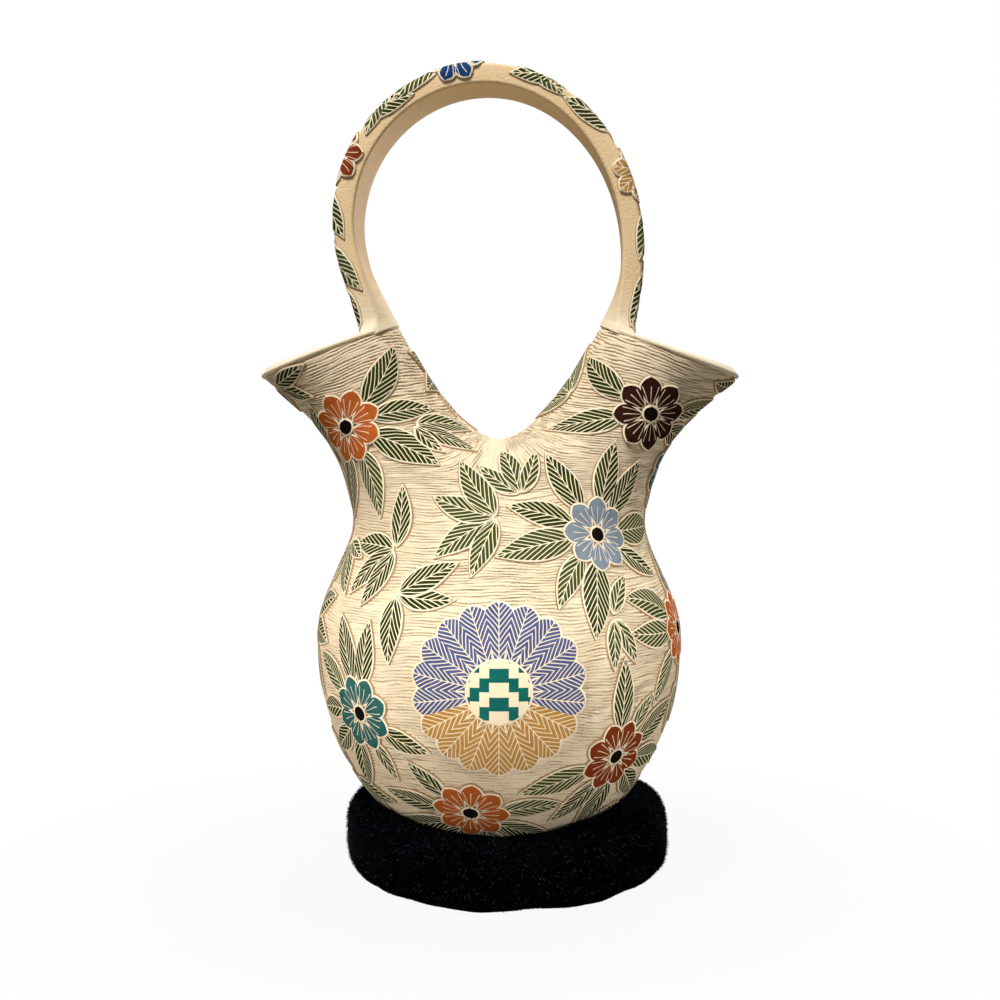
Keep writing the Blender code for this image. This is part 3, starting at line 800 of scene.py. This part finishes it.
# %% Rosettes, the feather wheel and sprays
PETALS, FEATHERS = 8, 18
PETAL_LIFT, SEED_LIFT, HUB_LIFT, LEAF_STEP = 0.2 * MM, 0.45 * MM, 0.3 * MM, 0.08 * MM
SHORTEST_LEAF = 19 * MM
LEAF_SLIMNESS = (0.37, 0.42)
LEAF_BEND = 25
LOOKS = 6
LIP_GUARD = 3.5 * MM
STRAP_GUARD = 9 * MM
draw = random.Random(11)


def lay_disc(group, slip, tree, start, radius, lift, rows, owner=None):
    root = off(start, 180, radius, tree)[:2] + (start[2],)
    lay_patch(group, slip, tree, root, 2 * radius, 2 * radius, disc, lift=lift, rows=rows, owner=owner)


def rosette(group, tree, start, radius, slip, owner=None, twist=0.0):
    for k in range(PETALS):
        root = off(start, twist + 360 * k / PETALS, 0.2 * radius, tree)
        lay_patch(group, slip, tree, root, 0.8 * radius, 0.62 * radius, petal,
                  lift=PETAL_LIFT, rows=14, owner=owner)
    lay_disc(group, "seed", tree, start, 0.24 * radius, SEED_LIFT, 10, owner)


def feather_wheel(start, radius):
    for k in range(FEATHERS):
        degrees = 360 * k / FEATHERS
        slip = "violet" if math.cos(math.radians(degrees)) > -0.2 else "ochre"
        root = off(start, degrees, 0.36 * radius)
        lay_patch("feather_wheel", slip, skin_tree, root, 0.64 * radius, 0.345 * radius, feather,
                  rows=20)
    lay_disc("feather_wheel", "stepped_teal", skin_tree, start, 0.37 * radius, HUB_LIFT, 24)


def is_free(start, length, width, bend, owner, share):
    """Whether a leaf laid here would keep clear of lips, strap and what others laid."""
    for _ in range(LOOKS + 1):
        place = start[0]
        spot = mouth_place(math.copysign(1, place.x)).inverted() @ place
        if spot.z > -(STRAP_GUARD if spot.x < 0 else LIP_GUARD):
            return False
        for cell in itertools.product(*[(c - 1, c, c + 1) for c in cell_of(place)]):
            for other, half, holder in taken.get(cell, ()):
                if holder != owner and (other - place).length < half + width / 2 * share:
                    return False
        start = stride(skin_tree, start, length / LOOKS, bend / LOOKS)
    return True


def spray(roots, lengths, owner, bare=0.0, share=0.4, least=1):
    """Lay a spray of leaves where the ground beyond their bare feet is free, if enough of them fit."""
    fitting = []
    for root, longest in zip(roots, lengths):
        slimness, bend = draw.uniform(*LEAF_SLIMNESS), draw.uniform(-LEAF_BEND, LEAF_BEND)
        foot = off(root, 0, bare)
        for length in (longest, 0.85 * longest, 0.7 * longest):
            width = length * slimness
            if length > SHORTEST_LEAF and is_free(foot, length - bare, width, bend, owner, share):
                fitting.append((root, length, width, leaf, bend))
                break
    if len(fitting) >= least:
        slip = draw.choice(("olive", "olive", "moss"))
        for number, place in enumerate(fitting):
            lay_patch("leaves", slip, skin_tree, *place, lift=(number % 4 - 2) * LEAF_STEP, owner=owner)


print("a rosette has", PETALS, "petals, the wheel", FEATHERS, "feathers")

# %% Lay the design on the pot
WHEEL_RADIUS = 38 * MM
ROSETTE_RADIUS = 17 * MM
WHEEL_SEAT = (3, 0, 98)
ROSETTES = (
    (-44, 0, 84, "teal"), (44, 0, 66, "rust"), (78, 0, 116, "orange"), (120, 0, 66, "dusk_blue"),
    (142, 0, 108, "rust"), (-142, 0, 116, "teal"), (180, 0, 70, "orange"), (-92, 0, 116, "maroon"),
    (-120, 0, 68, "ochre"), (43, 0, 160, "dusk_blue"), (180, 0, 168, "maroon"), (90, 0, 184, "teal"),
    (-90, 0, 184, "ochre"), (-8, 0, 43, "orange"), (0, -66, 206, "orange"), (0, 68, 212, "maroon"),
    (180, 66, 210, "rust"), (180, -66, 210, "dusk_blue"),
)
LEAVES_ROUND = 10  # tried round each rosette
LEAF_ROOT = 0.7  # as a share of the rosette's radius
LEAF_FOOT = 9 * MM  # hidden under the petals
SPRIGS = 3000  # tried on the ground
FAN = (0, 40, -40, 80, -80)
FAN_FOOT = 1 * MM
LOWEST_SPRIG = 34 * MM
BARE_SADDLE = 30 * MM
feather_wheel(seat(*WHEEL_SEAT), WHEEL_RADIUS)
starts = [seat(*place) for *place, slip in ROSETTES]
for number, (start, place) in enumerate(zip(starts, ROSETTES)):
    rosette("rosettes", skin_tree, start, ROSETTE_RADIUS, place[-1], number, draw.uniform(0, 45))
first_turns = [draw.uniform(0, 360) for _ in starts]
for k in range(LEAVES_ROUND):
    for number, (start, turn) in enumerate(zip(starts, first_turns)):
        angle = turn + 360 / LEAVES_ROUND * k + draw.uniform(-6, 6)
        root = off(start, angle, LEAF_ROOT * ROSETTE_RADIUS)
        spray([root], [draw.uniform(29, 37) * MM], number, bare=LEAF_FOOT, share=0.2)
for sprig in range(SPRIGS):
    spot = Vector(places[draw.randrange(len(places))])
    if spot.z < LOWEST_SPRIG or (spot.z > SPLIT_LEVEL and abs(spot.x) < BARE_SADDLE):
        continue
    start = off(heading_up(*skin_tree.find_nearest(spot)[:2]), draw.uniform(0, 360), FAN_FOOT)
    longest = (35 - 12 * sprig / SPRIGS) * MM
    roots = [off(start, degrees, FAN_FOOT) for degrees in FAN]
    least = 3 if 2 * sprig < SPRIGS else 2
    spray(roots, [draw.uniform(0.8, 1) * longest for _ in roots], 100 + sprig, least=least)
print("patches:", {group: len(patches) for group, patches in relief.items()})

# %% [markdown]
# On the strap, pairs of rosettes part the length. Leaves run away from them in three lanes, and those
# of the outer lanes turn outwards and lap over the strap's front and back edges.

# %% Leaves on the strap
STRAP_LEAVES = 12
STRAP_SPAN = (0.14, 0.72)  # first place and length of the leafy part, as shares of the strap
STRAP_LANE = 12
STRAP_ROSETTES = ((0.3, "rust"), (0.47, "navy"), (0.7, "ochre"))
PAIR_LANE, PAIR_RADIUS, PAIR_TWIST = 13, 14 * MM, 20
STRAP_LEAF_LIFT, STRAP_LEAF_SLIMNESS = -0.1 * MM, 0.38
strap_tree = BVHTree.FromObject(handle, bpy.context.evaluated_depsgraph_get())


def strap_seat(share, depth):
    """A start on the strap's outer face, at a share of its length and a depth in mm; it heads along."""
    index = int(share * (len(strap_line) - 1))
    along = (strap_line[index + 1] - strap_line[index - 1]).normalized()
    outward = Vector((-along.z, 0, along.x))
    above = strap_line[index] + outward * STRAP_THICKNESS + Vector((0, depth * MM, 0))
    place, normal = strap_tree.find_nearest(above)[:2]
    return place, normal, flat(along, normal)


for share, slip in STRAP_ROSETTES:
    for side in (-1, 1):
        start = strap_seat(share, PAIR_LANE * side)
        rosette("strap_leaves", strap_tree, start, PAIR_RADIUS, slip, twist=PAIR_TWIST)
for k in range(STRAP_LEAVES):
    share = STRAP_SPAN[0] + STRAP_SPAN[1] * k / (STRAP_LEAVES - 1)
    nearest = min((other for other, _ in STRAP_ROSETTES), key=lambda other: abs(other - share))
    for side in (-1, 0, 1):
        place, normal, ahead = strap_seat(share, STRAP_LANE * side)
        if share < nearest:
            ahead = -ahead
        turn = draw.uniform(17, 27) if side else draw.uniform(-9, 9)
        heading = turned(ahead, normal, turn)
        if heading.y * side < 0:
            heading = turned(ahead, normal, -turn)
        length = (draw.uniform(27, 33) if side else draw.uniform(22, 25)) * MM
        slip = draw.choice(("olive", "moss"))
        lay_patch("strap_leaves", slip, strap_tree, (place, normal, heading), length,
                  length * STRAP_LEAF_SLIMNESS, leaf, draw.uniform(-12, 12), lift=STRAP_LEAF_LIFT)
print("strap patches:", len(relief["strap_leaves"]))

# %% [markdown]
# ## Slip
# Coloured slip is thin liquid clay, brushed on before firing and scratched through with a point, so
# painted shapes carry bare cream lines: ribs on leaves and feathers, rays on petals. It fires matt and
# a bit uneven. The lines are finer than the mesh, so the finish draws them. The `lay` map gives the
# place on a patch in metres, along and across, and `gap` is how far a point is from the nearest line.

# %% Slip finishes
RIB_CORE, RIB_RIM = 0.152 * MM, 0.248 * MM  # half widths of a scratch, within and with its soft edge
SWAY, SWAY_SIZE = 0.7 * MM, 6 * MM
BRUSH_SIZE = 4 * MM
RAY_SPACING, RAY_END, RAY_CENTRE, RAY_SPREAD = 3.2 * MM, 8.5 * MM, 2.0 * MM, 10 * MM
STEP_REPEAT = 12 * MM
SCRATCH_DEPTH = 0.15 * MM


def slip_finish(name, deep, thin, pattern, spacing=RAY_SPACING, slant=0.0):
    material, tree, shader = finish(name + "_slip", {"Roughness": 0.8})
    along, across, _ = add(tree, "SeparateXYZ", {0: add(tree, "UVMap", uv_map="lay")}).outputs
    side = calc(tree, "ABSOLUTE", across)
    reach = calc(tree, "ADD", along, RAY_CENTRE)
    beyond = calc(tree, "SUBTRACT", along, RAY_END)
    sway = add(tree, "MapRange", {0: mottle(tree, SWAY_SIZE, 1), 3: -SWAY, 4: SWAY})
    wave = (("ADD", sway), ("DIVIDE", spacing), ("ADD", 0.5), ("FRACT", 0), ("SUBTRACT", 0.5),
            ("ABSOLUTE", 0), ("MULTIPLY", spacing / math.hypot(1, slant)))
    gap, *sums = {
        "ribs": (side, ("MULTIPLY", -slant), ("ADD", along), *wave, ("MINIMUM", side)),
        "rays": (across, ("DIVIDE", reach), ("MULTIPLY", RAY_SPREAD), *wave, ("MAXIMUM", beyond)),
        "steps": (side, ("SNAP", spacing), ("ADD", along), ("MODULO", STEP_REPEAT),
                  ("SUBTRACT", STEP_REPEAT / 2)),
        "plain": (along,),
    }[pattern]
    for operation, value in sums:
        gap = calc(tree, operation, gap, value)
    line = add(tree, "MapRange", {0: gap, 1: RIB_CORE, 2: RIB_RIM, 3: 1.0, 4: 0.0})
    paint = blend(tree, mottle(tree, BRUSH_SIZE, 3), deep, thin)
    colour = blend(tree, line, paint, "#F1E3C4")
    bump = add(tree, "Bump", {"Height": line, "Strength": 0.6, "Distance": SCRATCH_DEPTH}, invert=True)
    feed(tree, shader, {"Base Color": colour, "Normal": bump})
    return material


SLIPS = {
    "olive": ("#1F290C", "#37431C", "ribs", 3.9 * MM, 2.1),
    "moss": ("#2F3B18", "#4D5931", "ribs", 3.9 * MM, 2.1),
    "violet": ("#343F72", "#5E6D9A", "ribs", 2.5 * MM, 1.3),
    "ochre": ("#A67432", "#C49654", "ribs", 2.9 * MM, 1.3),
    "stepped_teal": ("#0F5650", "#1E6E66", "steps", 4 * MM),
    "seed": ("#0E0B09", "#1D1712", "plain"),
    "orange": ("#A94F22", "#C2682F", "rays"),
    "rust": ("#6C2C14", "#8A3F20", "rays"),
    "maroon": ("#2A1512", "#40221C", "rays"),
    "teal": ("#225252", "#396C6A", "rays"),
    "dusk_blue": ("#6B7888", "#8A96A4", "rays"),
    "navy": ("#152F5E", "#264A80", "rays"),
}
slips = {name: slip_finish(name, *recipe) for name, recipe in SLIPS.items()}
print("slips:", ", ".join(slips))

# %% [markdown]
# Each group of patches becomes one piece, with bare clay, cut clay darkened as painted shade, and its
# own slips as material slots.
# A second map gives every patch a cell of its own, so that a bake doesn't paint one over another.

# %% Make the relief pieces
CELL_MARGIN = 0.04


def patch_faces(first, rows):
    """Faces of a patch, each with its coat."""
    faces = []
    for low in range(first, first + rows * COLUMNS, COLUMNS):
        high = low + COLUMNS
        for c in range(COLUMNS - 1):
            # The slopes take the EDGE coat: cut clay whose dark colour is partly painted shade.
            coat = EDGE if c in (0, COLUMNS - 2) else PAINT if 2 <= c < COLUMNS - 3 else BARE
            faces.append(((low + c, low + c + 1, high + c + 1, high + c), coat))
        faces.append(((high - 1, low, high, high + COLUMNS - 1), EDGE))
    faces.append((tuple(range(first + COLUMNS - 1, first - 1, -1)), EDGE))
    faces.append((tuple(range(high, high + COLUMNS)), EDGE))
    return faces


def relief_piece(name, patches):
    names = sorted({slip for slip, _ in patches})
    per_row = math.ceil(math.sqrt(len(patches)))
    points, faces, slots, lay, cells = [], [], [], [], []
    for number, (slip, patch) in enumerate(patches):
        for corners, coat in patch_faces(len(points), len(patch) // COLUMNS - 1):
            faces.append(corners)
            slots.append(PAINT + names.index(slip) if coat == PAINT else coat)
        for point, spot, cell in patch:
            points.append(tuple(point))
            lay.append(spot)
            cells.append((number % per_row, number // per_row, *cell))
    cells = np.array(cells)
    atlas = (cells[:, :2] + CELL_MARGIN + (1 - 2 * CELL_MARGIN) * cells[:, 2:]) / per_row
    mesh = mesh_of(name, points, faces)
    for material in (clay, cut_clay_and_shade, *(slips[slip] for slip in names)):
        mesh.materials.append(material)
    mesh.polygons.foreach_set("material_index", slots)
    corner_points = read(mesh.loops, "vertex_index", 1, int)[:, 0]
    for layer, spots in (("lay", lay), ("OFBake", atlas)):
        mesh.uv_layers.new(name=layer).data.foreach_set("uv", np.array(spots)[corner_points].ravel())
    mesh.shade_smooth()
    piece = put(name, mesh)
    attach(piece, "vase")
    return piece


for group, patches in relief.items():
    piece = relief_piece(group, patches)
    print(piece.name, len(piece.data.polygons), "faces")

# %% [markdown]
# ## Plush ring
# The ring is a stuffed tube of black plush. The pot presses a dish into its top, the table flattens
# it below, and it sags at front and back. A cloth simulation would swell it into the pot, so section,
# lumps, sag and dish are worked out for each point.

# %% Ring body
RING_RADIUS = 74.0 * MM
RING_HOLE = 34.5 * MM
RING_TOP = 38.5 * MM
RING_SQUARENESS = 2.8
RING_SHIFT = 3.5 * MM
RING_SAG = 0.23
RING_HUMP = 2.2 * MM
RING_AROUND, RING_SECTION = 224, 96
SHIFT_FROM, SHIFT_OVER = 45 * MM, 25 * MM
LUMPS = ((1.3, 30 * MM), (0.6, 11 * MM))  # height in mm, size
DISH_GAP = 0.8 * MM


def pot_underside(radius):
    share = min(1.0, radius / BELLY_RADIUS)
    return BELLY_LEVEL - BELLY_RISE * math.sqrt(1.0 - share * share)


def ring_point(turn, angle):
    """A point of the stuffed tube, from a turn round the ring and an angle round its section."""
    outward = Vector((math.cos(turn), math.sin(turn), 0))
    middle, half_width = (RING_RADIUS + RING_HOLE) / 2, (RING_RADIUS - RING_HOLE) / 2
    power = 2 / RING_SQUARENESS
    radius = middle + half_width * signed_power(math.cos(angle), power)
    height = RING_TOP / 2 * (1 + signed_power(math.sin(angle), power)) * (1 - RING_SAG * outward.y ** 2)
    spot = outward * radius + Vector((0, 0, height))
    lump = sum(rise * noise.noise(spot / size) for rise, size in LUMPS)
    push = Vector((outward.x * math.cos(angle), outward.y * math.cos(angle), math.sin(angle)))
    spot += push * lump * MM
    share = clamp((radius - SHIFT_FROM) / SHIFT_OVER)
    spot.x += RING_SHIFT * share
    spot.z += RING_HUMP * share * max(0.0, outward.x) ** 2 * max(0.0, math.sin(angle))
    spot.z = clamp(spot.z, 0.0, pot_underside(math.hypot(spot.x, spot.y)) - DISH_GAP)
    return spot


ring_grid = np.array([[ring_point(turn, angle) for angle in turns(RING_SECTION)]
                      for turn in turns(RING_AROUND)])
plush_ring = tube("plush_ring", ring_grid[:, ::-1], ring=True)
print("plush ring:", len(plush_ring.data.polygons), "faces")

# %% [markdown]
# Short fibres make the pile. Blender's hair could grow it, but hair isn't kept as a mesh, so each fibre
# is a blade of two faces that stands out, bends at its knee and lies down along the nap. Fibres are
# shorter under the pot and near the table, and a few of them get a lighter colour: painted glints.

# %% Pile of the plush
FIBRES = 60000
LOWEST_ROOT = 1.5 * MM
PILE_LENGTH = (1.0, 2.0)
PILE_HALF_WIDTH = 0.1 * MM  # wider than a real fibre, so that it shows
PILE_ROOT = 0.3 * MM
POT_CLEAR, POT_SHORT = 0.4 * MM, 3 * MM
TABLE_SHORT = 10 * MM
NAP, NAP_SPREAD = (0.2, 0, -1.0), 0.75
KNEE, TIP = (0.42, 0.25), (0.62, 0.75)  # shares of the length, outwards and along the nap
KNEE_WIDTH = 0.8
# How rare the painted glints are: a higher power leaves fewer lighter fibres.
GLINT_RARITY = 7
spread = np.random.default_rng(5)
row = spread.integers(0, RING_AROUND, FIBRES)
column = spread.integers(0, RING_SECTION, FIBRES)
along_ring = ring_grid[(row + 1) % RING_AROUND, column] - ring_grid[row, column]
down_side = ring_grid[row, (column + 1) % RING_SECTION] - ring_grid[row, column]
root = ring_grid[row, column] + along_ring * spread.random((FIBRES, 1))
root += down_side * spread.random((FIBRES, 1))
out = np.cross(along_ring, down_side)
size = np.linalg.norm(out, axis=1)
keep = (size > 1e-12) & (root[:, 2] > LOWEST_ROOT)
root, out = root[keep], out[keep] / size[keep, None]
free = np.array([pot_underside(math.hypot(x, y)) - z for x, y, z in root])
nap = np.array(NAP) + spread.normal(0, NAP_SPREAD, root.shape)
nap -= out * (nap * out).sum(axis=1)[:, None]
nap /= np.linalg.norm(nap, axis=1)[:, None]
length = spread.uniform(*PILE_LENGTH, len(root)) * MM * np.clip((free - POT_CLEAR) / POT_SHORT, 0.1, 1)
length = length[:, None] * np.clip(root[:, 2:] / TABLE_SHORT, 0.35, 1)
across = np.cross(out, nap) * PILE_HALF_WIDTH
knee, tip = [root + out * length * away + nap * length * lying for away, lying in (KNEE, TIP)]
base = root - out * PILE_ROOT
knee_across = across * KNEE_WIDTH
blades = np.stack([base - across, base + across, knee + knee_across, knee - knee_across, tip], axis=1)
blades[..., 2] = np.maximum(blades[..., 2], 0.1 * MM)
first = np.arange(len(root))[:, None] * 5
pile_faces = (first + [0, 1, 2, 3]).tolist() + (first + [3, 2, 4]).tolist()
plush_pile = put("plush_pile", mesh_of("plush_pile", blades.reshape(-1, 3).tolist(), pile_faces))
note(plush_pile, "painted_glint", np.repeat(spread.random(len(root)) ** GLINT_RARITY, 5))
print("fibres:", len(root))

# %% [markdown]
# Black plush is dyed polyester pile. It swallows light between its fibres, so it is nearly black all
# over, with a breath of sheen at its edge. Small glints are painted on single fibres as a lighter
# colour.

# %% Plush finish
TUFT_SIZE = 2.5 * MM


def black_plush():
    material, tree, shader = finish("black_plush", {
        "Roughness": 0.8, "Sheen Weight": 0.03, "Sheen Roughness": 0.4, "Sheen Tint": "#AEBACB"})
    tone = blend(tree, mottle(tree, TUFT_SIZE, 2), "#010102", "#050609")
    painted_glint = add(tree, "Attribute", attribute_name="painted_glint").outputs["Fac"]
    # Painted glints: a few fibres are coloured a lighter grey-blue.
    feed(tree, shader, {"Base Color": blend(tree, painted_glint, tone, "#3C4650")})
    return material


plush = black_plush()
for piece in (plush_ring, plush_pile):
    piece.data.materials.append(plush)
    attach(piece, "ring_stand")
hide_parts("ring_cover", "ring_stuffing", "ring_seam")
print("plush on", plush_ring.name, "and", plush_pile.name)

# %% [markdown]
# ## Light and floor
# A broad lamp above and in front is the key, and one behind lights the back. Three small lamps with a
# narrow beam lift the belly, as reflectors would. The table is dark to the pot, so its underside falls
# into shade, but the camera and reflections see it as white paper that fades into the background.

# %% Lamps
LAMP_COLOUR = "#FFFCF6"
BELLY_AIM = (0, 0, 0.106)
BELLY_BEAM = math.radians(13)
BELLY_LAMPS = {"low": ((-0.1, -0.8, 0.2), 0.014), "left": ((-0.7, -0.6, 0.14), 0.033),
               "right": ((0.7, -0.6, 0.2), 0.035)}


def lamp(name, place, aim, size, power):
    """A square lamp that faces its aim; power in watts."""
    data = bpy.data.lights.new(name, "AREA")
    data.energy, data.size, data.color = power, size, linear(LAMP_COLOUR)[:3]
    made = put(name, data)
    made.location = place
    made.rotation_euler = (Vector(aim) - Vector(place)).to_track_quat("-Z", "Y").to_euler()
    return made


lamp("key", (-0.2, -0.55, 1.15), (0, 0, 0.2), 0.35, 14.3)
lamp("back", (0.35, 0.95, 0.5), (0, 0, 0.15), 0.35, 9)
for name, (place, power) in BELLY_LAMPS.items():
    lamp(name, place, BELLY_AIM, 0.1, power).data.spread = BELLY_BEAM
print("lamps: key, back,", ", ".join(BELLY_LAMPS))

# %% Background and floor
WORLD_LIGHT = 0.1
PAPER_NEAR, PAPER_FAR = 0.07, 0.3


def seen_rays(tree):
    """One for rays that show the background: the camera's, and those of reflections and glass."""
    rays = add(tree, "LightPath").outputs
    seen = calc(tree, "MAXIMUM", rays["Is Camera Ray"], rays["Is Glossy Ray"])
    return calc(tree, "MAXIMUM", seen, rays["Is Transmission Ray"])


world = bpy.data.worlds.new("studio")
scene.world = world
world.use_nodes = True
sky = world.node_tree
level = add(sky, "MapRange", {0: seen_rays(sky), 3: WORLD_LIGHT, 4: 1.0})
feed(sky, sky.nodes["Background"], {"Color": (1, 1, 1, 1), "Strength": level})

floor_corners = [(-3, -3, 0), (3, -3, 0), (3, 3, 0), (-3, 3, 0)]
floor = put("floor", mesh_of("floor", floor_corners, [(0, 1, 2, 3)]))
# Matt white paper: no gleam; close to the ring it lets a little of the shadow through.
paper, tree, shader = finish("white_paper", {"Roughness": 0.9, "Base Color": "#9A948A"})
glow = add(tree, "Emission", {"Color": (1, 1, 1, 1), "Strength": 1.0})
place = add(tree, "TexCoord").outputs["Object"]
away = add(tree, "VectorMath", {0: place}, operation="LENGTH").outputs["Value"]
white = add(tree, "MapRange", {0: away, 1: PAPER_NEAR, 2: PAPER_FAR, 3: 0.94, 4: 1.0},
            interpolation_type="SMOOTHSTEP")
share = calc(tree, "MULTIPLY", seen_rays(tree), white)
mix = add(tree, "MixShader", {0: share, 1: shader, 2: glow})
feed(tree, tree.nodes["Material Output"], {"Surface": mix})
floor.data.materials.append(paper)
print("floor and background are set")
